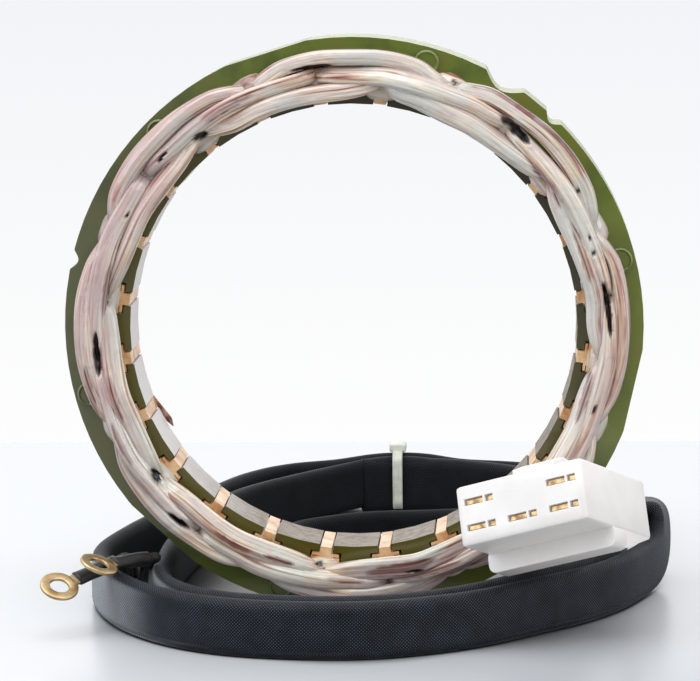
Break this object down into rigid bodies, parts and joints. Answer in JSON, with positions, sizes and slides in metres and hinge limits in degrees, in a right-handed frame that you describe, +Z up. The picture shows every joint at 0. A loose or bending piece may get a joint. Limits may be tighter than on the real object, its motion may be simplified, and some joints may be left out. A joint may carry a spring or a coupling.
{
  "type": "wound stator",
  "caption": "Slotted ring stator with a distributed three-phase winding, a flat braided lead and a multi-way plug.",
  "frame": {"origin": "on the surface it stands on, below the middle of the ring", "axes": "+Y along the ring's axis from the front to the rear, +Z up, +X to the right seen from the front"},
  "size_m": [0.143, 0.1746, 0.132],
  "materials": {
    "core": "laminated steel under a thin olive lacquer",
    "rivet": "steel, lacquered over with the core",
    "insulation": "tan insulating paper",
    "winding_outer": "enamelled copper wire under milky varnish",
    "winding_middle": "enamelled copper wire under milky varnish",
    "winding_inner": "enamelled copper wire under milky varnish",
    "splice": "woven glass sleeve",
    "phase_lead": "silicone insulated wire",
    "collar": "shrunk tube",
    "sleeve": "flat braid of dark monofilament",
    "tie": "moulded natural nylon",
    "housing": "moulded natural nylon",
    "terminal": "plated brass strip",
    "wire_black": "extruded insulation",
    "wire_white": "extruded insulation",
    "wire_yellow": "extruded insulation",
    "wire_blue": "extruded insulation",
    "wire_red": "extruded insulation",
    "eye": "plated brass strip",
    "shrink": "shrunk tube",
    "ring_lead": "silicone insulated wire"
  },
  "bodies": {
    "root": {"stator_core": "core", "rivet_1": "rivet", "rivet_2": "rivet", "rivet_3": "rivet", "rivet_4": "rivet", "rivet_5": "rivet", "rivet_6": "rivet", "slot_insulator_01": "insulation", "slot_insulator_02": "insulation", "slot_insulator_03": "insulation", "slot_insulator_04": "insulation", "slot_insulator_05": "insulation", "slot_insulator_06": "insulation", "slot_insulator_07": "insulation", "slot_insulator_08": "insulation", "slot_insulator_09": "insulation", "slot_insulator_10": "insulation", "slot_insulator_11": "insulation", "slot_insulator_12": "insulation", "slot_insulator_13": "insulation", "slot_insulator_14": "insulation", "slot_insulator_15": "insulation", "slot_insulator_16": "insulation", "slot_insulator_17": "insulation", "slot_insulator_18": "insulation", "slot_insulator_19": "insulation", "slot_insulator_20": "insulation", "slot_insulator_21": "insulation", "slot_insulator_22": "insulation", "slot_insulator_23": "insulation", "slot_insulator_24": "insulation", "winding_outer": "winding_outer", "winding_middle": "winding_middle", "winding_inner": "winding_inner", "neutral_splice": "splice", "phase_lead_1": "phase_lead", "phase_lead_2": "phase_lead", "phase_lead_3": "phase_lead", "lead_collar": "collar", "braided_sleeve": "sleeve", "cable_tie": "tie", "plug_housing": "housing", "terminal_1": "terminal", "terminal_2": "terminal", "terminal_3": "terminal", "terminal_4": "terminal", "terminal_5": "terminal", "plug_wire_1": "wire_black", "plug_wire_2": "wire_white", "plug_wire_3": "wire_yellow", "plug_wire_4": "wire_blue", "plug_wire_5": "wire_red", "ring_terminal_1": "eye", "ring_shrink_1": "shrink", "ring_lead_1": "ring_lead", "ring_terminal_2": "eye", "ring_shrink_2": "shrink", "ring_lead_2": "ring_lead"}
  },
  "joints": []
}
